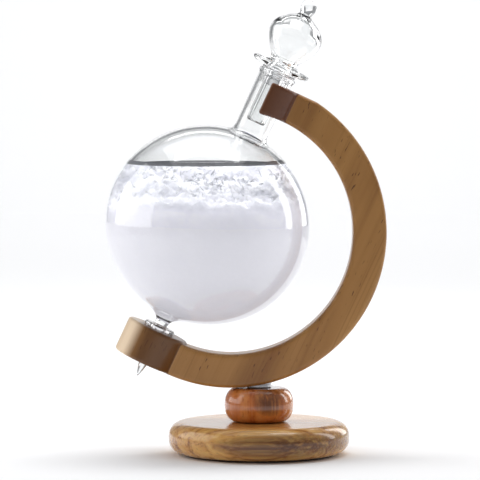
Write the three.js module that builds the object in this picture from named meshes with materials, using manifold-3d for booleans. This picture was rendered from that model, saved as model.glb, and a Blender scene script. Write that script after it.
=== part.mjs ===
// Storm-glass globe on a wooden C-arm stand, in millimetres, +Z up.
// Origin: centre of the felt pad's underside, the face the object rests on.
// X points right, Y points back; the arm and the globe's axis lie in the XZ plane.
import * as THREE from "three";
import { mergeVertices } from "three/addons/utils/BufferGeometryUtils.js";
import Module from "manifold-3d";

// ---------------------------------------------------------------- driving dimensions
const GAP = 0.3; // clearance between pieces that touch

const TILT_DEG = 25; // lean of the globe's axis from vertical
const GLOBE_X = -25.2, GLOBE_Z = 112.5; // centre of the globe
const GLOBE_R_EQ = 50.0, GLOBE_R_POL = 48.6; // outer radii across and along the axis
const GLASS_WALL = 1.7;
const LIQUID_Z = 141.7; // height of the liquid's surface
const CRYSTAL_Z = 126.7; // mean height of the settled crystals

const NECK_R = 8.5, NECK_BORE_R = 7.1, NECK_TOP = 81.6, RIM_R = 9.4;
const TAIL_TIP = -81.6, TAIL_R = 3.3;

const ARM_CX = 11.86, ARM_CT = 1.78; // arm ring's centre in the globe's tilted frame
const ARM_R_IN = 59.4, ARM_R_OUT = 75.8, ARM_HALF_DEPTH = 9.2, ARM_EASE = 1.8;
const END_R = 15.6; // round ends of the arm
const SEAT_T = -56.4, SEAT_UNDER_T = -73.8; // lower end: seat and underside along the globe's axis
const TOP_IN_T = 60.2, TOP_OUT_T = 76.6; // upper end: inner face at the axis, and outer face
const TOP_CUT_P = -0.8; // the upper end stops just past the axis
const NOTCH_R = 9.3; // half-round notch that the neck rests in
const TAIL_HOLE_R = 3.9;

const PAD_R = 37.0, PAD_H = 0.8;
const BASE_R = 44.3, BASE_BOTTOM = 0.9, BASE_TOP = 16.2, BASE_ROUND = 6.8;
const BEAD_R = 17.0, BEAD_FLAT_R = 12.9, BEAD_BOTTOM = 16.3, BEAD_TOP = 32.9;
const SPACER_R = 6.0, SPACER_BOTTOM = 33.0, SPACER_TOP = 36.1;
const SCREW_R = 2.5, SCREW_HOLE_R = 2.8, SCREW_TIP = 47.2;
const HEAD_R = 4.6, HEAD_BOTTOM = 3.6, HEAD_TOP = 6.8;
const WASHER_R = 6.0, WASHER_BOTTOM = 7.0, WASHER_TOP = 8.1;
const COUNTERBORE_R = 7.0, COUNTERBORE_TOP = 8.3;

const ROUND = 32; // facets round a turned piece

// ---------------------------------------------------------------- solids
const wasm = await Module();
wasm.setup();

// A closed geometry as a solid with its faces pointing out.
function solid(geometry) {
  const g = geometry.index ? geometry.toNonIndexed() : geometry.clone();
  for (const name of Object.keys(g.attributes))
    if (name !== "position") g.deleteAttribute(name);
  const m = mergeVertices(g, 1e-4);
  const src = m.index.array, tri = [];
  for (let i = 0; i < src.length; i += 3)
    if (src[i] !== src[i + 1] && src[i + 1] !== src[i + 2] && src[i] !== src[i + 2])
      tri.push(src[i], src[i + 1], src[i + 2]);
  const make = (t) =>
    new wasm.Manifold(
      new wasm.Mesh({
        numProp: 3,
        vertProperties: new Float32Array(m.attributes.position.array),
        triVerts: new Uint32Array(t),
      }),
    );
  const made = make(tri);
  if (made.volume() > 0) return made;
  for (let i = 0; i < tri.length; i += 3) [tri[i + 1], tri[i + 2]] = [tri[i + 2], tri[i + 1]];
  return make(tri);
}

// A solid as a geometry for a mesh.
function geometryOf(s) {
  const m = s.getMesh(), n = m.numProp, v = new Float32Array(m.numVert * 3);
  for (let i = 0; i < m.numVert; i++) v.set(m.vertProperties.subarray(i * n, i * n + 3), i * 3);
  const g = new THREE.BufferGeometry()
    .setAttribute("position", new THREE.BufferAttribute(v, 3))
    .setIndex(new THREE.BufferAttribute(new Uint32Array(m.triVerts), 1));
  g.computeVertexNormals();
  return g;
}

// A piece turned about +Z from [radius, height] points.
function turned(points, segments = ROUND) {
  const g = new THREE.LatheGeometry(points.map(([r, z]) => new THREE.Vector2(r, z)), segments);
  return g.rotateX(Math.PI / 2);
}

function rod(r, z0, z1, segments = ROUND) {
  return turned([[0, z0], [r, z0], [r, z1], [0, z1]], segments);
}

const arc = (cx, cy, rx, ry, a0, a1, n) =>
  Array.from({ length: n + 1 }, (_, i) => {
    const a = ((a0 + ((a1 - a0) * i) / n) * Math.PI) / 180;
    return [cx + rx * Math.cos(a), cy + ry * Math.sin(a)];
  });

// ---------------------------------------------------------------- frames
const stand = new THREE.Group(); // upright pieces
const tilted = new THREE.Group(); // pieces on the globe's axis, which is this group's Z
tilted.position.set(GLOBE_X, 0, GLOBE_Z);
tilted.rotation.y = (TILT_DEG * Math.PI) / 180;
tilted.updateMatrix();
const toTilted = tilted.matrix.clone().invert();

function add(group, name, geometry, color, roughness, metalness, extra = {}) {
  const mesh = new THREE.Mesh(
    geometry,
    new THREE.MeshStandardMaterial({ color, roughness, metalness, ...extra }),
  );
  mesh.name = name;
  group.add(mesh);
}

// ---------------------------------------------------------------- base
add(stand, "felt_pad", geometryOf(solid(rod(PAD_R, 0, PAD_H))), 0x4a4038, 0.95, 0);

const baseProfile = [
  [0, BASE_BOTTOM],
  ...arc(BASE_R - BASE_ROUND, BASE_BOTTOM + BASE_ROUND, BASE_ROUND, BASE_ROUND, -90, 0, 4),
  ...arc(BASE_R - BASE_ROUND, BASE_TOP - BASE_ROUND, BASE_ROUND, BASE_ROUND, 0, 90, 4),
  [0, BASE_TOP],
];
const base = solid(turned(baseProfile))
  .subtract(solid(rod(COUNTERBORE_R, -1, COUNTERBORE_TOP, 24)))
  .subtract(solid(rod(SCREW_HOLE_R, -1, 20, 24)));
add(stand, "base_disc", geometryOf(base), 0xc9a36c, 0.25, 0);

const screw = turned(
  [
    [0, HEAD_BOTTOM + 1.4],
    [1.5, HEAD_BOTTOM + 1.2],
    [1.6, HEAD_BOTTOM],
    [3.6, HEAD_BOTTOM],
    [HEAD_R, HEAD_BOTTOM + 1.0],
    [HEAD_R, HEAD_TOP],
    [SCREW_R, HEAD_TOP],
    [SCREW_R, SCREW_TIP - 4],
    [0, SCREW_TIP],
  ],
  24,
);
add(stand, "base_screw", geometryOf(solid(screw)), 0xa8a8aa, 0.35, 1);

const ring = (rOut, rIn, z0, z1, n = 24) =>
  turned([[rIn, z0], [rOut, z0], [rOut, z1], [rIn, z1], [rIn, z0]], n);
add(stand, "screw_washer", geometryOf(solid(ring(WASHER_R, SCREW_HOLE_R, WASHER_BOTTOM, WASHER_TOP))), 0xb5b5b8, 0.35, 1);

// ---------------------------------------------------------------- bead between base and arm
const beadMid = (BEAD_BOTTOM + BEAD_TOP) / 2, beadHalf = (BEAD_TOP - BEAD_BOTTOM) / 2;
const bead = solid(
  turned([
    [0, BEAD_BOTTOM],
    ...Array.from({ length: 9 }, (_, i) => {
      const a = ((-90 + 22.5 * i) * Math.PI) / 180;
      return [
        BEAD_FLAT_R - 1.6 + (BEAD_R - BEAD_FLAT_R + 1.6) * Math.cos(a),
        beadMid + beadHalf * Math.sin(a),
      ];
    }),
    [0, BEAD_TOP],
  ]),
).subtract(solid(rod(SCREW_HOLE_R, 10, 40, 24)));
add(stand, "bead_spacer", geometryOf(bead), 0xb8602f, 0.2, 0);

add(stand, "steel_collar", geometryOf(solid(ring(SPACER_R, SCREW_HOLE_R, SPACER_BOTTOM, SPACER_TOP))), 0xc4c4c6, 0.3, 1);

// ---------------------------------------------------------------- C-arm, cut from one board
// Drawn in the tilted frame: shape X is across the axis, shape Y is along it, depth is Y.
function plate(shape, halfDepth, ease, curveSegments) {
  const g = new THREE.ExtrudeGeometry(shape, {
    depth: 2 * (halfDepth - ease),
    bevelEnabled: ease > 0,
    bevelThickness: ease,
    bevelSize: ease,
    bevelOffset: -ease,
    bevelSegments: 2,
    curveSegments,
  });
  g.translate(0, 0, -(halfDepth - ease));
  return g.rotateX(Math.PI / 2);
}
const strip = new THREE.Shape();
const deg = Math.PI / 180;
const A0 = -97 * deg, A1 = 91 * deg;
strip.absarc(ARM_CX, ARM_CT, ARM_R_OUT, A0, A1, false);
strip.absarc(ARM_CX, ARM_CT, ARM_R_IN, A1, A0, true);
strip.closePath();
let arm = solid(plate(strip, ARM_HALF_DEPTH, ARM_EASE, 30));

const EASE = 1.4;
const endDisc = (t0, t1) =>
  solid(
    turned([
      [0, t0],
      [END_R - EASE, t0],
      [END_R - EASE * 0.3, t0 + EASE * 0.3],
      [END_R, t0 + EASE],
      [END_R, t1 - EASE],
      [END_R - EASE * 0.3, t1 - EASE * 0.3],
      [END_R - EASE, t1],
      [0, t1],
    ]),
  );
const innerCircle = solid(
  new THREE.CylinderGeometry(ARM_R_IN, ARM_R_IN, 60, 120).translate(ARM_CX, 0, ARM_CT),
);
const topDisc = endDisc(TOP_IN_T - 1, TOP_OUT_T)
  .subtract(innerCircle)
  .subtract(solid(new THREE.BoxGeometry(40, 60, 60).translate(TOP_CUT_P - 20, 0, 68)));
arm = arm
  .subtract(solid(new THREE.BoxGeometry(80, 40, 10).translate(0, 0, TOP_OUT_T + 5.15)))
  .add(endDisc(SEAT_UNDER_T, SEAT_T))
  .add(topDisc)
  .subtract(solid(rod(NOTCH_R, 50, 90)))
  .subtract(solid(rod(TAIL_HOLE_R, -90, -50, 24)))
  .subtract(solid(rod(SCREW_HOLE_R, 20, SCREW_TIP + GAP, 24).applyMatrix4(toTilted)))
  .subtract(solid(rod(SPACER_R + 0.4, 20, SPACER_TOP + 0.2, 24).applyMatrix4(toTilted)));
add(tilted, "c_arm", geometryOf(arm), 0x8c663e, 0.35, 0);

add(
  tilted,
  "tail_washer",
  geometryOf(
    solid(
      turned([
        [3.8, SEAT_T + 0.1],
        [7.4, SEAT_T + 0.1],
        [7.8, SEAT_T + 0.6],
        [7.8, SEAT_T + 1.5],
        [7.2, SEAT_T + 2.1],
        [4.2, SEAT_T + 2.1],
        [3.8, SEAT_T + 1.8],
        [3.8, SEAT_T + 0.1],
      ], 24),
    ),
  ),
  0xe8e8ea, 0.3, 0, { transparent: true, opacity: 0.6 },
);

// ---------------------------------------------------------------- globe: body, neck and tail in one glass piece
const sphere = (rEq, rPol, r0, r1, n) =>
  // from radius r0 below the equator to radius r1 above it
  arc(0, 0, rEq, rPol, (-Math.acos(r0 / rEq) * 180) / Math.PI, (Math.acos(r1 / rEq) * 180) / Math.PI, n);

const globeOuter = solid(
  turned([
    [0, TAIL_TIP],
    [0.8, TAIL_TIP + 1.6],
    [1.9, -76.4],
    [2.5, -72.5],
    [3.0, -63.0],
    [TAIL_R, -55.0],
    [TAIL_R + 0.1, -52.6],
    [4.1, -51.2],
    [5.2, -50.1],
    [7.4, -48.9],
    ...sphere(GLOBE_R_EQ, GLOBE_R_POL, 11.5, 11.0, 16),
    [9.3, 48.2],
    [NECK_R + 0.1, 49.8],
    [NECK_R, 52.5],
    [NECK_R + 0.3, 79.4],
    [RIM_R, 80.2],
    [RIM_R, 81.1],
    [RIM_R - 0.6, NECK_TOP],
    [0, NECK_TOP],
  ]),
);
const cavity = (shrink, top) =>
  turned([
    [0, -48.6 + shrink],
    [3.2 - shrink, -48.2 + shrink],
    [7.0 - shrink, -47.0 + shrink],
    ...sphere(GLOBE_R_EQ - GLASS_WALL - shrink, GLOBE_R_POL - GLASS_WALL - shrink, 11.5, 9.6, 16),
    [7.8 - shrink, 47.0 - shrink],
    [NECK_BORE_R - shrink, 48.8 - shrink],
    [NECK_BORE_R - shrink, top],
    [0, top],
  ]);
add(
  tilted, "glass_globe", geometryOf(globeOuter.subtract(solid(cavity(0, 95)))),
  0xeef4f6, 0.03, 0, { transparent: true, opacity: 0.3 },
);

// ---------------------------------------------------------------- contents
// A block whose top follows the uneven surface of the settled crystals.
const surface = (x, y) =>
  CRYSTAL_Z +
  2.2 * Math.sin(x * 0.11 + 0.6) * Math.cos(y * 0.13 - 0.4) +
  1.3 * Math.sin(x * 0.29 + y * 0.21 + 1.1) +
  0.03 * (x + 25) -
  0.0009 * ((x + 25) ** 2 + y * y);
function block(lift) {
  const n = 11, w = 104;
  const g = new THREE.BoxGeometry(w, w, 20, n, n, 1).translate(GLOBE_X, 0, 0);
  const p = g.attributes.position;
  for (let i = 0; i < p.count; i++)
    p.setZ(i, p.getZ(i) > 0 ? surface(p.getX(i), p.getY(i)) + lift : 40);
  return solid(g.applyMatrix4(toTilted));
}
const contents = solid(cavity(GAP, 50));
const belowLevel = solid(
  new THREE.BoxGeometry(140, 140, 140).translate(GLOBE_X, 0, LIQUID_Z - 70).applyMatrix4(toTilted),
);
add(
  tilted, "solution", geometryOf(contents.intersect(belowLevel).subtract(block(GAP))),
  0xdfe8ea, 0.05, 0, { transparent: true, opacity: 0.35 },
);
add(tilted, "crystal_bed", geometryOf(contents.intersect(block(0))), 0xd6d5dc, 0.8, 0);

// ---------------------------------------------------------------- stopper and its seal
add(
  tilted,
  "neck_seal",
  geometryOf(
    solid(
      turned([
        [5.3, 74.6],
        [6.6, 74.6],
        [NECK_BORE_R - 0.25, 75.4],
        [NECK_BORE_R - 0.25, NECK_TOP + 0.3],
        [8.6, NECK_TOP + 0.3],
        [8.6, NECK_TOP + 1.1],
        [5.3, NECK_TOP + 1.1],
        [5.3, 74.6],
      ], 24),
    ),
  ),
  0xd9dde0, 0.4, 0, { transparent: true, opacity: 0.6 },
);

const stopperOuter = solid(
  turned(
    [
      [0, 55.2],
      [3.4, 55.2],
      [4.6, 56.4],
      [5.0, 58.4],
      [5.0, 83.0],
      [11.8, 83.0],
      [13.9, 84.0],
      [14.6, 85.2],
      [13.9, 86.0],
      [10.2, 86.7],
      [7.6, 87.2],
      [6.9, 88.0],
      [7.4, 89.5],
      [9.5, 92.3],
      [11.6, 95.6],
      [12.9, 98.8],
      [13.3, 101.6],
      [12.6, 104.5],
      [10.9, 107.2],
      [8.4, 109.4],
      [5.6, 111.1],
      [3.6, 112.2],
      [3.0, 113.1],
      [3.6, 114.8],
      [4.0, 116.6],
      [3.7, 118.6],
      [2.4, 120.1],
      [0, 120.6],
    ],
    24,
  ),
);
const stopperBore = solid(
  turned(
    [
      [0, 50],
      [3.5, 50],
      [3.5, 86.0],
      [4.4, 88.2],
      [6.0, 90.4],
      [8.3, 93.3],
      [10.3, 96.4],
      [11.5, 99.2],
      [11.9, 101.4],
      [11.3, 103.6],
      [9.7, 105.6],
      [7.2, 107.8],
      [4.2, 109.5],
      [0, 110.4],
    ],
    24,
  ),
);
add(
  tilted, "glass_stopper", geometryOf(stopperOuter.subtract(stopperBore)),
  0xf0f5f7, 0.03, 0, { transparent: true, opacity: 0.3 },
);

const model = new THREE.Group();
model.add(stand, tilted);
export default model;
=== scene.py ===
import math
import random

import bmesh
import bpy
import numpy as np
from mathutils import Matrix, Vector, noise


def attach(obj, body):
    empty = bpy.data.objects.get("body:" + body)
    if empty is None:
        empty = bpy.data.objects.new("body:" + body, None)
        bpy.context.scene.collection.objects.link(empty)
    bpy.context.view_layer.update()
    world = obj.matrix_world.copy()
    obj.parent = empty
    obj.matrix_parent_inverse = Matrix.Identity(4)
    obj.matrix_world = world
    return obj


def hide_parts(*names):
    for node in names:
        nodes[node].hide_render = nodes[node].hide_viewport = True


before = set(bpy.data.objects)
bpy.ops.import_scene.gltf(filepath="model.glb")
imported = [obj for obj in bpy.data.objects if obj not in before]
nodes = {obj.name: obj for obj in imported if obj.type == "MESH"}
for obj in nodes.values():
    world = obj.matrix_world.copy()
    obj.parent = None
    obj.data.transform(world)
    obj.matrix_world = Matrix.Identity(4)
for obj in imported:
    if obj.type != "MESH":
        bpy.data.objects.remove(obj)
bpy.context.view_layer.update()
scene = bpy.context.scene
MM = 0.001

# ---------------------------------------------------------------- dimensions (mm), the same as the CAD model's
TILT = math.radians(25.0)
GX, GZ = -25.2, 112.5
R_EQ, R_POL, WALL = 50.0, 48.6, 1.7
LIQUID_Z, CRYSTAL_Z = 141.7, 126.7
NECK_R, BORE_R, NECK_TOP, RIM_R = 8.5, 7.1, 81.6, 9.4
TAIL_TIP, TAIL_R = -81.6, 3.3
ARM_CX, ARM_CT, ARM_R_IN, ARM_R_OUT, ARM_HALF = 11.86, 1.78, 59.4, 75.8, 9.2
END_R, SEAT_T, UNDER_T, TOP_IN_T, TOP_OUT_T = 15.6, -56.4, -73.8, 60.2, 76.6
TOP_CUT_P, NOTCH_R, HOLE_R = -0.8, 9.3, 3.9
V = np.array([math.cos(TILT), 0.0, -math.sin(TILT)])  # across the globe's axis
U = np.array([math.sin(TILT), 0.0, math.cos(TILT)])  # along it
G = np.array([GX, 0.0, GZ])
TILTED = Matrix.Translation(Vector(G * MM)) @ Matrix.Rotation(TILT, 4, "Y")
UPRIGHT = Matrix.Identity(4)


def to_local(co):
    """World mm to (across, depth, along) mm of the globe's tilted frame."""
    d = co - G
    return np.stack([d @ V, d[:, 1], d @ U], 1)


# ---------------------------------------------------------------- camera
cam_data = bpy.data.cameras.new("camera")
cam_data.sensor_width = 36.0
cam_data.lens = 249.0
cam_data.clip_start, cam_data.clip_end = 0.05, 50
cam = bpy.data.objects.new("camera", cam_data)
scene.collection.objects.link(cam)
eye, aim = Vector((-0.0093, -1.620, 0.1912)), Vector((-0.0093, 0.0, 0.1051))
cam.location = eye
cam.rotation_euler = (aim - eye).to_track_quat("-Z", "Y").to_euler()
scene.camera = cam


# ---------------------------------------------------------------- mesh helpers
def new_object(name, mesh):
    o = bpy.data.objects.new(name, mesh)
    scene.collection.objects.link(o)
    return o


def shade(o, angle=35):
    o.data.shade_smooth()
    o.data.set_sharp_from_angle(angle=math.radians(angle))
    return o


def spline(points, steps=6):
    """A smooth curve through the points (centripetal Catmull-Rom)."""
    p = [np.array(q, float) for q in points]
    p = [2 * p[0] - p[1]] + p + [2 * p[-1] - p[-2]]
    out = []
    for i in range(1, len(p) - 2):
        p0, p1, p2, p3 = p[i - 1 : i + 3]
        t0 = 0.0
        t1 = t0 + max(np.linalg.norm(p1 - p0), 1e-6) ** 0.5
        t2 = t1 + max(np.linalg.norm(p2 - p1), 1e-6) ** 0.5
        t3 = t2 + max(np.linalg.norm(p3 - p2), 1e-6) ** 0.5
        for k in range(steps):
            t = t1 + (t2 - t1) * k / steps
            a1 = (t1 - t) / (t1 - t0) * p0 + (t - t0) / (t1 - t0) * p1
            a2 = (t2 - t) / (t2 - t1) * p1 + (t - t1) / (t2 - t1) * p2
            a3 = (t3 - t) / (t3 - t2) * p2 + (t - t2) / (t3 - t2) * p3
            b1 = (t2 - t) / (t2 - t0) * a1 + (t - t0) / (t2 - t0) * a2
            b2 = (t3 - t) / (t3 - t1) * a2 + (t - t1) / (t3 - t1) * a3
            c = (t2 - t) / (t2 - t1) * b1 + (t - t1) / (t2 - t1) * b2
            out.append((float(c[0]), float(c[1])))
    out.append(tuple(float(x) for x in p[-2]))
    return out


def arc(cx, cy, rx, ry, a0, a1, n):
    return [
        (
            cx + rx * math.cos(math.radians(a0 + (a1 - a0) * i / n)),
            cy + ry * math.sin(math.radians(a0 + (a1 - a0) * i / n)),
        )
        for i in range(n + 1)
    ]


def lathe(name, profile, segments=128, matrix=UPRIGHT, closed=False, angle=35):
    """Turns [radius, height] mm points about the local Z. closed joins the last point to the first, for a ring."""
    clean = [profile[0]]
    for q in profile[1:]:
        if math.dist(q, clean[-1]) > 1e-4:
            clean.append(q)
    if closed and math.dist(clean[0], clean[-1]) < 1e-4:
        clean.pop()
    bm = bmesh.new()
    rings = []
    for r, z in clean:
        if r < 1e-5:
            rings.append([bm.verts.new((0, 0, z * MM))])
        else:
            rings.append(
                [
                    bm.verts.new(
                        (
                            r * MM * math.cos(2 * math.pi * k / segments),
                            r * MM * math.sin(2 * math.pi * k / segments),
                            z * MM,
                        )
                    )
                    for k in range(segments)
                ]
            )
    pairs = list(zip(rings, rings[1:]))
    if closed:
        pairs.append((rings[-1], rings[0]))
    for a, b in pairs:
        for k in range(segments):
            j = (k + 1) % segments
            if len(a) == 1 and len(b) == 1:
                continue
            if len(a) == 1:
                bm.faces.new((a[0], b[j], b[k]))
            elif len(b) == 1:
                bm.faces.new((a[k], a[j], b[0]))
            else:
                bm.faces.new((a[k], a[j], b[j], b[k]))
    bm.normal_update()
    if bm.calc_volume(signed=True) < 0:
        bmesh.ops.reverse_faces(bm, faces=bm.faces[:])
    mesh = bpy.data.meshes.new(name)
    bm.to_mesh(mesh)
    bm.free()
    mesh.transform(matrix)
    return shade(new_object(name, mesh), angle)


def remeshed(name, node, voxel):
    """A fine even mesh over a CAD node's shape, to be drawn onto an exact surface."""
    o = new_object(name, nodes[node].data.copy())
    o.data.materials.clear()
    bpy.context.view_layer.update()
    m = o.modifiers.new("fine", "REMESH")
    m.mode = "VOXEL"
    m.voxel_size = voxel * MM
    dg = bpy.context.evaluated_depsgraph_get()
    mesh = bpy.data.meshes.new_from_object(o.evaluated_get(dg), depsgraph=dg)
    o.modifiers.clear()
    o.data = mesh
    mesh.name = name
    return o


def project(o, sdf, rounds=6, reach=1.6):
    """Moves each vertex onto the surface where sdf(world mm) is 0."""
    n = len(o.data.vertices)
    co = np.empty(n * 3)
    o.data.vertices.foreach_get("co", co)
    co = co.reshape(-1, 3) / MM
    start, h = co.copy(), 0.05
    for _ in range(rounds):
        d = sdf(co)
        grad = np.stack(
            [(sdf(co + h * e) - sdf(co - h * e)) / (2 * h) for e in np.eye(3)], 1
        )
        g2 = np.maximum((grad**2).sum(1), 0.05)
        co = co - np.clip(d / g2, -0.8, 0.8)[:, None] * grad
        off = co - start
        far = np.linalg.norm(off, axis=1)
        co = start + off * np.minimum(1.0, reach / np.maximum(far, 1e-9))[:, None]
    o.data.vertices.foreach_set("co", (co * MM).ravel())
    o.data.update()
    return o


def rmax(a, b, r):
    """Both at once, with the edge between them rounded to r."""
    return np.minimum(np.maximum(a, b), -r) + np.hypot(
        np.maximum(a + r, 0), np.maximum(b + r, 0)
    )


# ---------------------------------------------------------------- material helpers
def material(name, **sockets):
    m = bpy.data.materials.new(name)
    m.use_nodes = True
    nt = m.node_tree
    b = nt.nodes["Principled BSDF"]
    for k, v in sockets.items():
        b.inputs[k.replace("_", " ")].default_value = v
    return m, nt, b


def node(nt, kind, **props):
    n = nt.nodes.new(kind)
    for k, v in props.items():
        if k in n.bl_rna.properties and k != "inputs":
            setattr(n, k, v)
        else:
            n.inputs[k.replace("_", " ")].default_value = v
    return n


def mapping(nt, rotation=(0, 0, 0), scale=(1, 1, 1), location=(0, 0, 0)):
    tc = nt.nodes.new("ShaderNodeTexCoord")
    mp = nt.nodes.new("ShaderNodeMapping")
    mp.vector_type = "TEXTURE" if rotation != (0, 0, 0) else "POINT"
    mp.inputs["Rotation"].default_value = rotation
    mp.inputs["Location"].default_value = location
    nt.links.new(tc.outputs["Object"], mp.inputs["Vector"])
    if scale != (1, 1, 1):
        sc = nt.nodes.new("ShaderNodeMapping")
        sc.inputs["Scale"].default_value = scale
        nt.links.new(mp.outputs["Vector"], sc.inputs["Vector"])
        return sc.outputs["Vector"]
    return mp.outputs["Vector"]


def ramp(nt, source, stops, interpolation="LINEAR"):
    r = nt.nodes.new("ShaderNodeValToRGB")
    r.color_ramp.interpolation = interpolation
    e = r.color_ramp.elements
    while len(e) > 1:
        e.remove(e[-1])
    e[0].position, e[0].color = stops[0]
    for pos, col in stops[1:]:
        e.new(pos).color = col
    nt.links.new(source, r.inputs["Fac"])
    return r.outputs["Color"]


def mix(nt, fac, a, b, blend="MIX"):
    m = nt.nodes.new("ShaderNodeMix")
    m.data_type, m.blend_type = "RGBA", blend
    ins = {"f": m.inputs[0], "a": m.inputs[6], "b": m.inputs[7]}
    for key, val in (("f", fac), ("a", a), ("b", b)):
        if isinstance(val, (int, float)):
            ins[key].default_value = val
        elif isinstance(val, tuple):
            ins[key].default_value = val
        else:
            nt.links.new(val, ins[key])
    return m.outputs[2]


def maths(nt, op, a, b=0.5, clamp=False):
    m = nt.nodes.new("ShaderNodeMath")
    m.operation, m.use_clamp = op, clamp
    for i, val in enumerate((a, b)):
        if isinstance(val, (int, float)):
            m.inputs[i].default_value = val
        else:
            nt.links.new(val, m.inputs[i])
    return m.outputs[0]


def srgb(r, g, b, a=1.0):
    f = lambda c: (c / 255 / 12.92) if c <= 10.3 else ((c / 255 + 0.055) / 1.055) ** 2.4
    return (f(r), f(g), f(b), a)


def bump(nt, b, height, strength, distance):
    n = nt.nodes.new("ShaderNodeBump")
    n.inputs["Strength"].default_value = strength
    n.inputs["Distance"].default_value = distance
    nt.links.new(height, n.inputs["Height"])
    nt.links.new(n.outputs["Normal"], b.inputs["Normal"])


def wood(name, light, mid, dark, pore, rotation, along, coat=0.6, rough=(0.28, 0.45), band=90.0, pores=1.0, contrast=1.0, painted_end_shade_and_highlight=False, grain_streak_and_reflection_patches=()):
    """Varnished wood. along is the grain's direction after rotation: 0, 1 or 2 for X, Y or Z."""
    m, nt, b = material(name, Coat_Weight=coat, Coat_Roughness=0.08, Coat_IOR=1.5, Specular_IOR_Level=0.35)

    def stretched(across, length, location=(0, 0, 0)):
        s = [across, across, across]
        s[along] = length
        return mapping(nt, rotation, tuple(s), location)

    def tex(vec, detail=3.0, rough_=0.6, dist=0.0, scale=1.0):
        n = nt.nodes.new("ShaderNodeTexNoise")
        n.inputs["Scale"].default_value = scale
        n.inputs["Detail"].default_value = detail
        n.inputs["Roughness"].default_value = rough_
        n.inputs["Distortion"].default_value = dist
        nt.links.new(vec, n.inputs["Vector"])
        return n.outputs["Fac"]

    growth = tex(stretched(band, 6.0), 2.0, 0.5, 0.6)
    fine = tex(stretched(900.0, 22.0, (3, 1, 2)), 3.0, 0.65)
    blotch = tex(stretched(22.0, 9.0, (7, 2, 5)), 2.0, 0.5)
    c = ramp(nt, growth, [(0.3, dark), (0.47, mid), (0.62, light), (0.75, mid)])
    c = mix(nt, ramp(nt, fine, [(0.35, (0.55 * contrast,) * 3 + (1,)), (0.62, (0, 0, 0, 1))]), c, mid)
    streak = ramp(nt, tex(stretched(420.0, 7.0, (5, 9, 1)), 2.0, 0.7), [(0.60, (0, 0, 0, 1)), (0.70, (0.55 * contrast,) * 3 + (1,))])
    c = mix(nt, streak, c, dark)
    c = mix(nt, ramp(nt, blotch, [(0.35, (0.28 * contrast,) * 3 + (1,)), (0.65, (0, 0, 0, 1))]), c, dark)
    # short open pores lying along the grain
    short = tex(stretched(1100.0, 190.0, (1, 4, 8)), 1.0, 0.5)
    where = tex(stretched(70.0, 30.0, (2, 2, 9)), 1.0, 0.5)
    pit = maths(nt, "MULTIPLY", ramp(nt, short, [(0.665, (0, 0, 0, 1)), (0.72, (1, 1, 1, 1))]), ramp(nt, where, [(0.42, (0, 0, 0, 1)), (0.6, (1, 1, 1, 1))]))
    pit = maths(nt, "MULTIPLY", pit, 0.8 * pores)
    c = mix(nt, pit, c, pore)
    for cx, cz, rx, rz, strength in grain_streak_and_reflection_patches:
        # darker streaks round (cx, cz) mm, mixed toward the pore colour: darker grain on the base, a painted reflection
        # of the dark surroundings on the bead
        at = nt.nodes.new("ShaderNodeSeparateXYZ")
        nt.links.new(mapping(nt), at.inputs["Vector"])
        dx = maths(nt, "DIVIDE", maths(nt, "SUBTRACT", at.outputs["X"], cx * MM), rx * MM)
        dz = maths(nt, "DIVIDE", maths(nt, "SUBTRACT", at.outputs["Z"], cz * MM), rz * MM)
        far = maths(nt, "ADD", maths(nt, "MULTIPLY", dx, dx), maths(nt, "MULTIPLY", dz, dz))
        inside_ = maths(nt, "SUBTRACT", 1.0, far, True)
        streaks = ramp(nt, tex(stretched(620.0, 5.0, (4, 6, 3)), 3.0, 0.6), [(0.3, (0.45,) * 3 + (1,)), (0.55, (1, 1, 1, 1))])
        c = mix(nt, maths(nt, "MULTIPLY", maths(nt, "MULTIPLY", maths(nt, "POWER", inside_, 0.6), streaks), strength), c, pore)
    if painted_end_shade_and_highlight:
        # painted shade: the turned ends are darkened within their radius of the globe's axis, all but their left edge,
        # standing in for the dark reflections and shading they show
        tilted = nt.nodes.new("ShaderNodeMapping")
        tilted.vector_type = "TEXTURE"
        tilted.inputs["Rotation"].default_value = (0, TILT, 0)
        tilted.inputs["Location"].default_value = (GX * MM, 0, GZ * MM)
        tc = nt.nodes.new("ShaderNodeTexCoord")
        nt.links.new(tc.outputs["Object"], tilted.inputs["Vector"])
        sep = nt.nodes.new("ShaderNodeSeparateXYZ")
        nt.links.new(tilted.outputs["Vector"], sep.inputs["Vector"])
        r2 = maths(nt, "ADD", maths(nt, "MULTIPLY", sep.outputs["X"], sep.outputs["X"]), maths(nt, "MULTIPLY", sep.outputs["Y"], sep.outputs["Y"]))
        near = maths(nt, "LESS_THAN", maths(nt, "SQRT", r2, 0.5), 0.01585)
        side = nt.nodes.new("ShaderNodeMapRange")
        side.inputs["From Min"].default_value = -0.0125
        side.inputs["From Max"].default_value = -0.004
        nt.links.new(sep.outputs["X"], side.inputs["Value"])
        up = maths(nt, "GREATER_THAN", sep.outputs["Z"], 0.0)
        c = mix(nt, maths(nt, "MULTIPLY", maths(nt, "MULTIPLY", near, side.outputs["Result"]), 0.86), c, mix(nt, up, srgb(92, 54, 22), srgb(82, 32, 12)))
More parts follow.
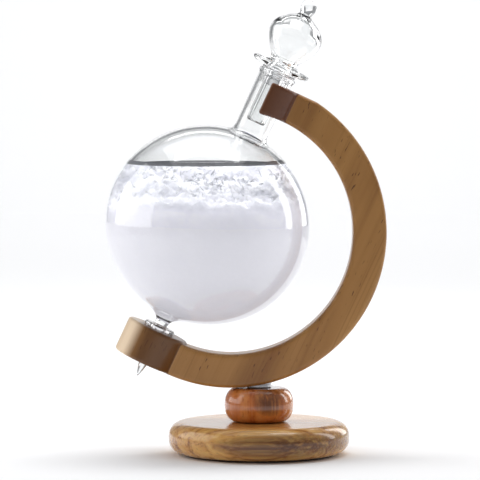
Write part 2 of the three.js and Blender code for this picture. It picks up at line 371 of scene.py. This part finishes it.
        # painted highlight: a pale cream streak on the lower end's left edge stands in for the left window's reflection
        tip = nt.nodes.new("ShaderNodeMapRange")
        tip.inputs["From Min"].default_value = -0.0068
        tip.inputs["From Max"].default_value = -0.0115
        nt.links.new(sep.outputs["X"], tip.inputs["Value"])
        painted_end_highlight = maths(nt, "MULTIPLY", maths(nt, "MULTIPLY", near, tip.outputs["Result"]), maths(nt, "SUBTRACT", 1.0, up))
        c = mix(nt, maths(nt, "MULTIPLY", painted_end_highlight, maths(nt, "ADD", 0.5, maths(nt, "MULTIPLY", growth, 0.5))), c, srgb(250, 226, 192))
    nt.links.new(c, b.inputs["Base Color"])
    nt.links.new(
        ramp(nt, fine, [(0.3, (rough[1],) * 3 + (1,)), (0.7, (rough[0],) * 3 + (1,))]),
        b.inputs["Roughness"],
    )
    h = maths(nt, "SUBTRACT", maths(nt, "MULTIPLY", fine, 0.25), pit)
    bump(nt, b, h, 0.22, 0.00018)
    return m


def glass(name, tint, ior, rough=0.0, wave=0.00004, cast=0.98):
    """Clear glass or liquid: it bends light, and lets the lamps' light through to what is inside it."""
    m, nt, b = material(name, Transmission_Weight=1.0, IOR=ior, Roughness=rough, Base_Color=tint)
    n = nt.nodes.new("ShaderNodeTexNoise")
    n.inputs["Scale"].default_value = 28.0
    n.inputs["Detail"].default_value = 1.0
    nt.links.new(mapping(nt), n.inputs["Vector"])
    bump(nt, b, n.outputs["Fac"], 0.25, wave)
    clear = nt.nodes.new("ShaderNodeBsdfTransparent")
    clear.inputs["Color"].default_value = (cast, cast, cast, 1)
    path = nt.nodes.new("ShaderNodeLightPath")
    mx = nt.nodes.new("ShaderNodeMixShader")
    nt.links.new(path.outputs["Is Shadow Ray"], mx.inputs["Fac"])
    nt.links.new(b.outputs["BSDF"], mx.inputs[1])
    nt.links.new(clear.outputs["BSDF"], mx.inputs[2])
    nt.links.new(mx.outputs["Shader"], nt.nodes["Material Output"].inputs["Surface"])
    return m


# ---------------------------------------------------------------- materials
M = {}
# the arm's ends carry painted shade, and the lower end a painted highlight
M["arm"] = wood(
    "arm_wood", srgb(188, 138, 78), srgb(176, 126, 68), srgb(140, 92, 44), srgb(52, 26, 12),
    (0, TILT, 0), 2, coat=0.3, rough=(0.32, 0.45), band=70.0, contrast=0.7, painted_end_shade_and_highlight=True,
)
M["base"] = wood(
    "base_wood", srgb(240, 194, 116), srgb(218, 160, 86), srgb(146, 88, 38), srgb(84, 42, 14),
    (0, 0, 0), 0, coat=0.6, rough=(0.2, 0.32), band=300.0, pores=0.6, contrast=0.9, grain_streak_and_reflection_patches=((14, 8.5, 38, 6.5, 0.95),),
)
# the bead's patch, right of centre near its top, is a painted reflection of dark surroundings
M["bead"] = wood(
    "bead_wood", srgb(240, 160, 86), srgb(224, 134, 62), srgb(160, 76, 28), srgb(60, 24, 10),
    (0, 0, 0), 2, coat=1.0, rough=(0.18, 0.3), band=160.0, pores=0.4, grain_streak_and_reflection_patches=((5, 27.5, 8.5, 7.5, 0.8),),
)
M["glass"] = glass("clear_glass", (0.985, 0.992, 0.99, 1), 1.47)
M["liquid"] = glass("storm_solution", (0.985, 0.985, 0.995, 1), 1.36, wave=0.00001, cast=0.99)

M["silicone"] = glass("clear_silicone", srgb(252, 251, 252), 1.41, wave=0.00006, cast=0.95)
nt = M["silicone"].node_tree
n = node(nt, "ShaderNodeTexNoise", Scale=700.0, Detail=2.0)
nt.links.new(mapping(nt), n.inputs["Vector"])
nt.links.new(ramp(nt, n.outputs["Fac"], [(0.3, (0.06,) * 3 + (1,)), (0.7, (0.16,) * 3 + (1,))]), nt.nodes["Principled BSDF"].inputs["Roughness"])

nt = M["liquid"].node_tree
b = nt.nodes["Principled BSDF"]
at = nt.nodes.new("ShaderNodeSeparateXYZ")
nt.links.new(mapping(nt), at.inputs["Vector"])
# painted shade: the meniscus above the flat level is painted dark grey, less clear and a little rough, standing in for
# the dark line that refraction draws there
rim = nt.nodes.new("ShaderNodeMapRange")
rim.inputs["From Min"].default_value = (LIQUID_Z + 0.02) * MM
rim.inputs["From Max"].default_value = (LIQUID_Z + 0.12) * MM
nt.links.new(at.outputs["Z"], rim.inputs["Value"])
rim = rim.outputs["Result"]
nt.links.new(mix(nt, rim, (0.985, 0.985, 0.995, 1), srgb(92, 94, 98)), b.inputs["Base Color"])
nt.links.new(maths(nt, "SUBTRACT", 1.0, maths(nt, "MULTIPLY", rim, 0.75)), b.inputs["Transmission Weight"])
nt.links.new(maths(nt, "MULTIPLY", rim, 0.25), b.inputs["Roughness"])

m, nt, b = material("turned_steel", Metallic=1.0, Base_Color=srgb(200, 200, 203), Anisotropic=0.4)
n = node(nt, "ShaderNodeTexNoise", Scale=1.0, Detail=3.0)
nt.links.new(mapping(nt, (0, 0, 0), (300, 300, 5000)), n.inputs["Vector"])
nt.links.new(ramp(nt, n.outputs["Fac"], [(0.3, (0.2,) * 3 + (1,)), (0.7, (0.38,) * 3 + (1,))]), b.inputs["Roughness"])
nt.links.new(ramp(nt, n.outputs["Fac"], [(0.3, srgb(150, 150, 153)), (0.7, srgb(215, 215, 218))]), b.inputs["Base Color"])
bump(nt, b, n.outputs["Fac"], 0.3, 0.00005)
M["steel"] = m

m, nt, b = material("brown_felt", Roughness=0.95, Sheen_Weight=0.5, Sheen_Roughness=0.5, Specular_IOR_Level=0.1)
n = node(nt, "ShaderNodeTexNoise", Scale=2600.0, Detail=4.0, Roughness=0.7)
nt.links.new(mapping(nt), n.inputs["Vector"])
n2 = node(nt, "ShaderNodeTexNoise", Scale=60.0, Detail=3.0)
nt.links.new(mapping(nt), n2.inputs["Vector"])
c = ramp(nt, n.outputs["Fac"], [(0.3, srgb(46, 36, 30)), (0.7, srgb(98, 82, 70))])
c = mix(nt, ramp(nt, n2.outputs["Fac"], [(0.4, (0, 0, 0, 1)), (0.7, (0.5, 0.5, 0.5, 1))]), c, srgb(60, 48, 40))
nt.links.new(c, b.inputs["Base Color"])
bump(nt, b, n.outputs["Fac"], 0.8, 0.0003)
M["felt"] = m

# the settled crystals glow with painted light, standing in for light scattered through the milky mass
m, nt, b = material("settled_crystals", Roughness=0.75, Specular_IOR_Level=0.2, Subsurface_Weight=1.0, Subsurface_Scale=0.02, Emission_Strength=0.70)
b.inputs["Subsurface Radius"].default_value = (1.0, 1.0, 1.0)
n = node(nt, "ShaderNodeTexNoise", Scale=90.0, Detail=5.0, Roughness=0.6, Distortion=0.5)
nt.links.new(mapping(nt), n.inputs["Vector"])
n2 = node(nt, "ShaderNodeTexVoronoi", Scale=520.0)
nt.links.new(mapping(nt), n2.inputs["Vector"])
tc = nt.nodes.new("ShaderNodeTexCoord")
sep = nt.nodes.new("ShaderNodeSeparateXYZ")
nt.links.new(tc.outputs["Object"], sep.inputs["Vector"])
height = nt.nodes.new("ShaderNodeMapRange")
height.inputs["From Min"].default_value = 0.113
height.inputs["From Max"].default_value = 0.129
nt.links.new(sep.outputs["Z"], height.inputs["Value"])
soft = ramp(nt, n.outputs["Fac"], [(0.35, srgb(190, 189, 195)), (0.65, srgb(199, 198, 203))])
loose = ramp(nt, n.outputs["Fac"], [(0.3, srgb(160, 162, 172)), (0.5, srgb(196, 197, 205)), (0.7, srgb(226, 226, 232))])
nt.links.new(mix(nt, height.outputs["Result"], soft, loose), b.inputs["Base Color"])
# painted light: the glow is brightest low in the bed and dims towards its top
painted_glow = ramp(nt, height.outputs["Result"], [(0.45, srgb(222, 221, 229)), (0.95, srgb(96, 97, 104))])
nt.links.new(painted_glow, b.inputs["Emission Color"])
bump(nt, b, maths(nt, "ADD", n.outputs["Fac"], n2.outputs["Distance"]), 0.35, 0.0005)
M["bed"] = m

m, nt, b = material("feather_crystals", Specular_IOR_Level=0.5)
n = node(nt, "ShaderNodeTexNoise", Scale=170.0, Detail=3.0)
nt.links.new(mapping(nt), n.inputs["Vector"])
nt.links.new(ramp(nt, n.outputs["Fac"], [(0.36, srgb(140, 142, 150)), (0.46, srgb(205, 207, 213)), (0.58, srgb(250, 250, 253))]), b.inputs["Base Color"])
nt.links.new(ramp(nt, n.outputs["Fac"], [(0.3, (0.3,) * 3 + (1,)), (0.7, (0.55,) * 3 + (1,))]), b.inputs["Roughness"])
bump(nt, b, n.outputs["Fac"], 0.3, 0.0002)
M["feather"] = m


def finish_piece(o, mat, body, replaced):
    o.data.materials.clear()
    o.data.materials.append(M[mat])
    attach(o, body)
    if replaced:
        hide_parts(replaced)
    return o


# ---------------------------------------------------------------- stand: pad, base, bead, collar
pad = lathe(
    "felt_foot",
    [(0, 0.0), (36.6, 0.0), (36.95, 0.15), (37.0, 0.45), (36.8, 0.75), (36.4, 0.8), (0, 0.8)],
    160,
)
finish_piece(pad, "felt", "stand", "felt_pad")

B0, B1, BR, BRD = 0.9, 16.2, 44.3, 6.9
base_profile = (
    [(2.8, 8.3), (7.0, 8.3), (7.0, 1.3), (7.4, B0)]
    + [(BR - BRD - 10, B0)]
    + arc(BR - BRD, B0 + BRD, BRD, BRD, -90, 0, 16)
    + arc(BR - BRD, B1 - BRD, BRD, BRD, 0, 90, 16)
    + [(BR - BRD - 10, B1), (3.2, B1), (2.8, B1 - 0.4)]
)
base = lathe("turned_base", base_profile, 192, closed=True)
finish_piece(base, "base", "stand", "base_disc")

BEAD_LOW, BEAD_HIGH = 16.3, 32.9
mid, half = (BEAD_LOW + BEAD_HIGH) / 2, (BEAD_HIGH - BEAD_LOW) / 2
bead_profile = [(2.8, BEAD_LOW)] + [
    (
        11.3 + 5.7 * max(math.cos(math.radians(-90 + 180 * i / 40)), 0) ** 0.92,
        mid + half * math.sin(math.radians(-90 + 180 * i / 40)),
    )
    for i in range(41)
] + [(2.8, BEAD_HIGH)]
bead = lathe("turned_bead", bead_profile, 144, closed=True)
finish_piece(bead, "bead", "stand", "bead_spacer")

collar = lathe(
    "collar",
    [(2.8, 33.0), (5.7, 33.0), (6.0, 33.3), (6.0, 34.3), (5.75, 34.45), (5.75, 34.65), (6.0, 34.8), (6.0, 35.8), (5.7, 36.1), (2.8, 36.1)],
    96, closed=True, angle=25,
)
finish_piece(collar, "steel", "stand", "steel_collar")
for name in ("base_screw", "screw_washer"):
    nodes[name].data.materials.clear()
    nodes[name].data.materials.append(M["steel"])

# ---------------------------------------------------------------- C-arm
def arm_sdf(co):
    q = to_local(co)
    p, y, t = q[:, 0], q[:, 1], q[:, 2]
    rho = np.hypot(p - ARM_CX, t - ARM_CT)
    ring = np.maximum(ARM_R_IN - rho, rho - ARM_R_OUT)
    ring = np.maximum(ring, t - (TOP_OUT_T + 0.15))
    strip = rmax(ring, np.abs(y) - ARM_HALF, 1.9)
    strip = np.maximum(strip, 9.5 - p)
    axis_r = np.hypot(p, y)
    low = rmax(axis_r - END_R, np.maximum(t - SEAT_T, UNDER_T - t), 1.3)
    high = rmax(axis_r - END_R, np.maximum(t - TOP_OUT_T, np.maximum(TOP_IN_T - t, ARM_R_IN - rho)), 1.3)
    high = rmax(high, TOP_CUT_P - p, 1.2)
    d = np.minimum(strip, np.minimum(low, high))
    notch = np.where(t > 0, NOTCH_R - axis_r, -1e3)
    hole = np.where(t < 0, HOLE_R - axis_r, -1e3)
    d = rmax(d, notch, 0.6)
    d = rmax(d, hole, 0.4)
    r0 = np.hypot(co[:, 0], co[:, 1])
    low_half = np.where(co[:, 2] < 70, 1.0, 0.0)
    screw = np.where(low_half > 0, np.minimum(2.8 - r0, 47.5 - co[:, 2]), -1e3)
    spot = np.where(low_half > 0, np.minimum(6.4 - r0, 36.3 - co[:, 2]), -1e3)
    return np.maximum(d, np.maximum(screw, spot))


arm = project(remeshed("wooden_arm", "c_arm", 0.75), arm_sdf, 8)
shade(arm, 38)
finish_piece(arm, "arm", "stand", "c_arm")

washer = lathe(
    "tail_ring",
    spline([(3.8, SEAT_T + 0.5), (4.1, SEAT_T + 0.15), (5.5, SEAT_T + 0.1), (7.2, SEAT_T + 0.1), (7.75, SEAT_T + 0.5), (7.8, SEAT_T + 1.2), (7.4, SEAT_T + 1.9), (6.0, SEAT_T + 2.1), (4.4, SEAT_T + 2.1), (3.85, SEAT_T + 1.7)], 5),
    96, TILTED, closed=True, angle=60,
)
finish_piece(washer, "silicone", "stand", "tail_washer")

# ---------------------------------------------------------------- glass globe
def ellipse(re, rp, r0, r1, n):
    return arc(0, 0, re, rp, -math.degrees(math.acos(r0 / re)), math.degrees(math.acos(r1 / re)), n)


INNER_EQ, INNER_POL = R_EQ - WALL, R_POL - WALL


def cavity(shrink):
    """The inside of the globe from the bottom of its funnel to the foot of the neck."""
    return (
        spline([(0, -48.6 + shrink), (1.8, -48.45 + shrink), (3.4 - shrink, -48.0 + shrink), (7.0 - shrink, -47.0 + shrink), (11.5, -INNER_POL * math.sqrt(1 - (11.5 / INNER_EQ) ** 2) + shrink)], 4)[:-1]
        + ellipse(INNER_EQ - shrink, INNER_POL - shrink, 11.5, 10.4, 72)
    )


outer = (
    spline([(0, TAIL_TIP), (0.55, TAIL_TIP + 0.9), (1.1, TAIL_TIP + 2.6), (1.9, -76.2), (2.5, -72.5), (3.0, -63.0), (3.3, -55.0), (3.4, -52.8), (3.85, -51.3), (5.2, -50.0), (7.6, -48.75), (11.5, -R_POL * math.sqrt(1 - (11.5 / R_EQ) ** 2))], 5)[:-1]
    + ellipse(R_EQ, R_POL, 11.5, 11.4, 84)[:-1]
    + spline([(11.4, R_POL * math.sqrt(1 - (11.4 / R_EQ) ** 2)), (9.7, 48.0), (8.75, 49.3), (8.5, 51.2), (8.5, 56.0), (8.6, 66.0), (8.75, 77.0), (8.85, 79.2), (9.25, 79.9), (9.4, 80.6), (9.2, 81.3), (8.6, 81.6), (7.8, 81.55), (7.2, 81.1), (7.1, 80.2)], 5)
)
inner = [(7.1, 70.0), (7.1, 58.0)] + spline([(7.1, 50.5), (7.25, 48.9), (8.2, 47.3), (10.4, INNER_POL * math.sqrt(1 - (10.4 / INNER_EQ) ** 2))], 5)[:-1] + list(reversed(cavity(0.0)))
globe = lathe("globe_glass", outer + inner, 192, TILTED, angle=60)
finish_piece(globe, "glass", "globe", "glass_globe")

seal = lathe(
    "neck_sleeve",
    [(5.3, 74.8), (5.5, 74.6), (6.5, 74.6), (6.85, 75.2), (6.85, 81.6), (6.95, 81.9), (8.4, 81.9), (8.65, 82.2), (8.6, 82.5), (8.3, 82.7), (5.5, 82.7), (5.3, 82.5)],
    96, TILTED, closed=True, angle=40,
)
finish_piece(seal, "silicone", "globe", "neck_seal")

# ---------------------------------------------------------------- glass stopper
stop_outer = (
    spline([(3.5, 56.0), (3.8, 55.3), (4.4, 55.6), (4.9, 57.2), (5.0, 59.5), (5.0, 66.0), (5.0, 76.0), (5.0, 82.2)], 5)[:-1]
    + spline([(5.0, 82.2), (5.3, 82.85), (6.6, 83.0), (11.6, 83.0), (13.6, 83.7), (14.55, 84.8), (14.45, 85.6), (13.2, 86.2), (10.2, 86.7), (7.7, 87.2), (6.9, 87.9), (7.2, 89.2), (9.5, 92.3), (11.6, 95.6), (12.9, 98.8), (13.3, 101.6), (12.6, 104.5), (10.9, 107.2), (8.4, 109.4), (5.6, 111.1), (3.7, 112.1), (3.0, 113.1), (3.5, 114.6), (4.05, 116.6), (3.75, 118.6), (2.3, 120.1), (0, 120.6)], 6)
)
stop_inner = spline([(0, 110.4), (2.0, 110.1), (4.2, 109.5), (7.2, 107.8), (9.7, 105.6), (11.3, 103.6), (11.9, 101.4), (11.5, 99.2), (10.3, 96.4), (8.3, 93.3), (6.0, 90.4), (4.4, 88.2), (3.6, 86.2), (3.5, 84.5), (3.5, 76.0), (3.5, 66.0), (3.5, 57.0)], 5)


def hollow(name, outside, inside, segments, matrix, angle=60):
    """outside runs from the open mouth up to the axis, inside from the axis back down to the mouth."""
    bm = bmesh.new()

    def rings(profile):
        out = []
        for r, z in profile:
            if r < 1e-5:
                out.append([bm.verts.new((0, 0, z * MM))])
            else:
                out.append([bm.verts.new((r * MM * math.cos(2 * math.pi * k / segments), r * MM * math.sin(2 * math.pi * k / segments), z * MM)) for k in range(segments)])
        return out

    a, b = rings(outside), rings(inside)
    for pairs in (zip(a, a[1:]), zip(b, b[1:]), [(b[-1], a[0])]):
        for lo, hi in pairs:
            for k in range(segments):
                j = (k + 1) % segments
                if len(lo) == 1:
                    bm.faces.new((lo[0], hi[j], hi[k]))
                elif len(hi) == 1:
                    bm.faces.new((lo[k], lo[j], hi[0]))
                else:
                    bm.faces.new((lo[k], lo[j], hi[j], hi[k]))
    bmesh.ops.recalc_face_normals(bm, faces=bm.faces[:])
    if bm.calc_volume(signed=True) < 0:
        bmesh.ops.reverse_faces(bm, faces=bm.faces[:])
    mesh = bpy.data.meshes.new(name)
    bm.to_mesh(mesh)
    bm.free()
    mesh.transform(matrix)
    return shade(new_object(name, mesh), angle)


stopper = hollow("stopper_glass", stop_outer, stop_inner, 128, TILTED)
finish_piece(stopper, "glass", "stopper", "glass_stopper")

# ---------------------------------------------------------------- solution with its meniscus
def filled(name, shrink, level):
    """The globe's inside up to a level, with the liquid drawn up a little at the glass."""
    top = spline([(10.4, (INNER_POL - shrink) * math.sqrt(1 - (10.4 / (INNER_EQ - shrink)) ** 2)), (5, INNER_POL - shrink - 0.3), (0, INNER_POL - shrink)], 3)
    o = lathe(name, cavity(shrink)[:-1] + top, 144, TILTED, angle=180)
    bm = bmesh.new()
    bm.from_mesh(o.data)
    bmesh.ops.bisect_plane(
        bm, geom=bm.verts[:] + bm.edges[:] + bm.faces[:], plane_co=(0, 0, (level + 1.8) * MM), plane_no=(0, 0, 1), clear_outer=True, dist=1e-7,
    )
    edges = [e for e in bm.edges if e.is_boundary]
    loop, here = [], edges[0].verts[0]
    left = set(edges)
    while left:
        e = next((e for e in here.link_edges if e in left), None)
        if e is None:
            break
        loop.append(here)
        left.discard(e)
        here = e.other_vert(here)
    centre = sum((v.co for v in loop), Vector()) / len(loop)
    ring = loop
    for inset, rise in ((0.16, 1.35), (0.38, 1.0), (0.7, 0.68), (1.15, 0.4), (1.75, 0.2), (2.6, 0.07), (3.8, 0.0), (9.0, 0.0)):
        fresh = []
        for v in loop:
            out = v.co - centre
            q = centre + out * (1 - inset * MM / out.length)
            fresh.append(bm.verts.new((q.x, q.y, (level + rise) * MM)))
        for i in range(len(loop)):
            j = (i + 1) % len(loop)
            bm.faces.new((ring[i], ring[j], fresh[j], fresh[i]))
        ring = fresh
    bm.faces.new(ring)
    bmesh.ops.recalc_face_normals(bm, faces=bm.faces[:])
    if bm.calc_volume(signed=True) < 0:
        bmesh.ops.reverse_faces(bm, faces=bm.faces[:])
    bm.to_mesh(o.data)
    bm.free()
    return shade(o, 80)


liquid = filled("storm_liquid", -0.12, LIQUID_Z)  # wets the glass, so no film of air shows between them
finish_piece(liquid, "liquid", "stand", "solution")

# ---------------------------------------------------------------- crystals
rng = random.Random(11)


def top_of_bed(x, y):
    """Height of the settled crystals, mm, at world x, y."""
    v = Vector((x * 0.055, y * 0.055, 3.7))
    big = noise.fractal(v, 0.9, 2.1, 3, noise_basis="PERLIN_ORIGINAL")
    fine = noise.fractal(Vector((x * 0.33, y * 0.33, 9.1)), 0.8, 2.0, 3, noise_basis="PERLIN_ORIGINAL")
    mound = 4.0 * math.exp(-(((x + 44) / 12) ** 2)) + 3.0 * math.exp(-(((x - 6) / 11) ** 2)) - 1.2
    return CRYSTAL_Z + mound + 4.4 * big + 1.8 * fine - 0.0008 * ((x - GX) ** 2 + y * y)


def heights(co):
    return np.array([top_of_bed(float(a), float(c)) for a, c in co[:, :2]])


def bed_shape(o):
    n = len(o.data.vertices)
    co = np.empty(n * 3)
    o.data.vertices.foreach_get("co", co)
    co = co.reshape(-1, 3) / MM
    q = to_local(co)
    re, rp = INNER_EQ - 0.12, INNER_POL - 0.12
    # out to the glass: scale each point's place to the inside surface, below the crystals' top
    k = np.sqrt((q[:, 0] ** 2 + q[:, 1] ** 2) / re**2 + q[:, 2] ** 2 / rp**2)
    h = heights(co)
    near = k > 0.972
    s = np.where(near & (np.hypot(q[:, 0], q[:, 1]) > 9.0) | (near & (q[:, 2] > 0)), 1.0 / np.maximum(k, 1e-6), 1.0)
    q2 = q * s[:, None]
    world = G + q2[:, :1] * V + q2[:, 2:3] * U + np.array([0, 1, 0]) * q2[:, 1:2]
    top = (~near) & (co[:, 2] > 110)
    world[top, 2] = h[top]
    rim = near & (world[:, 2] > h)
    world[rim, 2] = h[rim]
    # a vertex lowered at the rim is brought back inside the glass
    q3 = to_local(world)
    k3 = np.sqrt((q3[:, 0] ** 2 + q3[:, 1] ** 2) / re**2 + q3[:, 2] ** 2 / rp**2)
    over = k3 > 1.0
    q3[over] = q3[over] / k3[over][:, None]
    world[over] = (G + q3[:, :1] * V + q3[:, 2:3] * U + np.array([0, 1, 0]) * q3[:, 1:2])[over]
    o.data.vertices.foreach_set("co", (world * MM).ravel())
    o.data.update()
    return o


bed = bed_shape(remeshed("crystal_mass", "crystal_bed", 0.9))
shade(bed, 60)
finish_piece(bed, "bed", "stand", "crystal_bed")


def inside(p, margin):
    q = to_local(np.array([p]))[0]
    return (q[0] ** 2 + q[1] ** 2) / (INNER_EQ - margin) ** 2 + q[2] ** 2 / (INNER_POL - margin) ** 2 < 1


def needle(bm, a, b, width, spin):
    """A thin closed splinter from a to b, mm, widest a third of the way along."""
    d = b - a
    side = d.orthogonal().normalized()
    side.rotate(Matrix.Rotation(spin, 3, d.normalized()))
    other = d.cross(side).normalized()
    c = a + d * 0.38
    vs = [bm.verts.new((c + side * width * f + other * width * 0.35 * g) * MM) for f, g in ((1, 0), (0, 1), (-1, 0), (0, -1))]
    va, vb = bm.verts.new(a * MM), bm.verts.new(b * MM)
    for i in range(4):
        j = (i + 1) % 4
        bm.faces.new((vs[i], vs[j], vb))
        bm.faces.new((vs[j], vs[i], va))


def sprig(bm, root, direction, length):
    """A feathery crystal: a stem with pairs of slanting barbs."""
    direction = direction.normalized()
    needle(bm, root, root + direction * length, 0.16, rng.uniform(0, 3))
    plane = direction.orthogonal().normalized()
    plane.rotate(Matrix.Rotation(rng.uniform(0, 6.28), 3, direction))
    pairs = rng.randint(3, 5)
    for i in range(pairs):
        f = (i + 1) / (pairs + 1.5)
        barb = length * (0.5 - 0.35 * f) * rng.uniform(0.8, 1.2)
        for s in (-1, 1):
            d = (direction * 0.75 + plane * s).normalized()
            a = root + direction * length * f
            needle(bm, a, a + d * barb, 0.13, 0.3)


feather_bm = bmesh.new()
placed = 0
tries = 0
while placed < 430 and tries < 9000:
    tries += 1
    x = GX + rng.uniform(-46, 46)
    y = rng.uniform(-46, 46)
    h = top_of_bed(x, y)
    # drifts that pile higher: left of the middle and to the right, in front
    pile = 9.0 * math.exp(-(((x + 38) / 12) ** 2 + ((y + 14) / 20) ** 2)) + 7.0 * math.exp(-(((x - 6) / 11) ** 2 + ((y + 12) / 22) ** 2))
    z = h + rng.random() ** 1.6 * (3.0 + pile) - 0.6
    length = rng.uniform(1.8, 5.2) * (1.0 if rng.random() < 0.8 else 1.5)
    d = Vector((rng.uniform(-1, 1), rng.uniform(-1, 1), rng.uniform(-0.15, 1.1)))
    if d.length < 0.2:
        continue
    tip = Vector((x, y, z)) + d.normalized() * length
    if not inside((x, y, z), 1.2) or not inside(tuple(tip), 1.0) or tip.z > LIQUID_Z - 0.5:
        continue
    sprig(feather_bm, Vector((x, y, z)), d, length)
    placed += 1
# a few that have floated up under the surface
for _ in range(46):
    x, y = GX + rng.gauss(-14, 9), rng.gauss(-12, 12)
    z = LIQUID_Z - rng.uniform(1.2, 6.5)
    d = Vector((rng.uniform(-1, 1), rng.uniform(-1, 1), rng.uniform(-0.5, 0.25)))
    length = rng.uniform(1.4, 3.6)
    tip = Vector((x, y, z)) + d.normalized() * length
    if inside((x, y, z), 2.0) and inside(tuple(tip), 2.0) and tip.z < LIQUID_Z - 0.6:
        sprig(feather_bm, Vector((x, y, z)), d, length)
fm = bpy.data.meshes.new("feather_crystals")
bmesh.ops.recalc_face_normals(feather_bm, faces=feather_bm.faces[:])
feather_bm.to_mesh(fm)
feather_bm.free()
feathers = new_object("feather_crystals", fm)
finish_piece(feathers, "feather", "stand", None)

# ---------------------------------------------------------------- floor, backdrop and lamps
bm = bmesh.new()
W, BACK_W, BACK_TOP = 3.0, 0.95, 1.2  # a wide floor, and a backdrop only a little wider than the view
prof = [(-2.8, 0.0), (2.6, 0.0)] + [(2.6 + 0.6 * math.sin(a), 0.6 - 0.6 * math.cos(a)) for a in [math.radians(9 * i) for i in range(1, 11)]] + [(3.2, BACK_TOP)]
rows = [[bm.verts.new((s * W, y, z)) for s in (-1, 1)] for y, z in prof[:2]]
bm.faces.new((rows[0][0], rows[0][1], rows[1][1], rows[1][0]))
rows = [[bm.verts.new((s * BACK_W, y, z)) for s in (-1, 1)] for y, z in prof[1:]]
for a, b_ in zip(rows, rows[1:]):
    bm.faces.new((a[0], a[1], b_[1], b_[0]))
floor_mesh = bpy.data.meshes.new("sweep")
bm.to_mesh(floor_mesh)
bm.free()
floor = new_object("sweep", floor_mesh)
floor.data.shade_smooth()
m, nt, b = material("pale_sweep", Roughness=0.9, Specular_IOR_Level=0.1, Base_Color=(0.93, 0.93, 0.935, 1))
floor.data.materials.append(m)


def softbox(name, centre, target, w, h, power, colour=(1, 1, 1)):
    d = bpy.data.lights.new(name, "AREA")
    d.shape, d.size, d.size_y, d.energy, d.color = "RECTANGLE", w, h, power, colour
    o = bpy.data.objects.new(name, d)
    scene.collection.objects.link(o)
    o.location = centre
    o.rotation_euler = (Vector(target) - Vector(centre)).to_track_quat("-Z", "Y").to_euler()
    return o


softbox("left_window", (-0.72, 0.07, 0.45), (0.3, 0.07, 0.45), 0.80, 0.74, 3.0)
softbox("right_strip", (0.72, 0.21, 0.45), (-0.3, 0.21, 0.45), 0.16, 0.74, 1.5)
softbox("right_back_strip", (0.62, 0.80, 0.45), (-0.1, 0.0, 0.45), 0.30, 0.74, 2.2)
softbox("overhead", (0.0, 0.25, 1.5), (0, 0.1, 0), 1.6, 1.4, 7.6)
softbox("floor_wash", (0.0, 0.35, 1.9), (0, 1.4, 0.3), 1.6, 0.8, 18.5)
softbox("backdrop_wash", (0.0, 2.1, 1.9), (0, 3.1, 0.3), 1.8, 0.8, 22.5)

world = bpy.data.worlds.new("studio")
scene.world = world
world.use_nodes = True
wnt = world.node_tree
bg = wnt.nodes["Background"]
bg.inputs["Color"].default_value = (0.9, 0.92, 0.95, 1)
bg.inputs["Strength"].default_value = 0.3

scene.view_settings.view_transform = "Standard"
scene.view_settings.look = "None"
scene.view_settings.exposure = 0.0
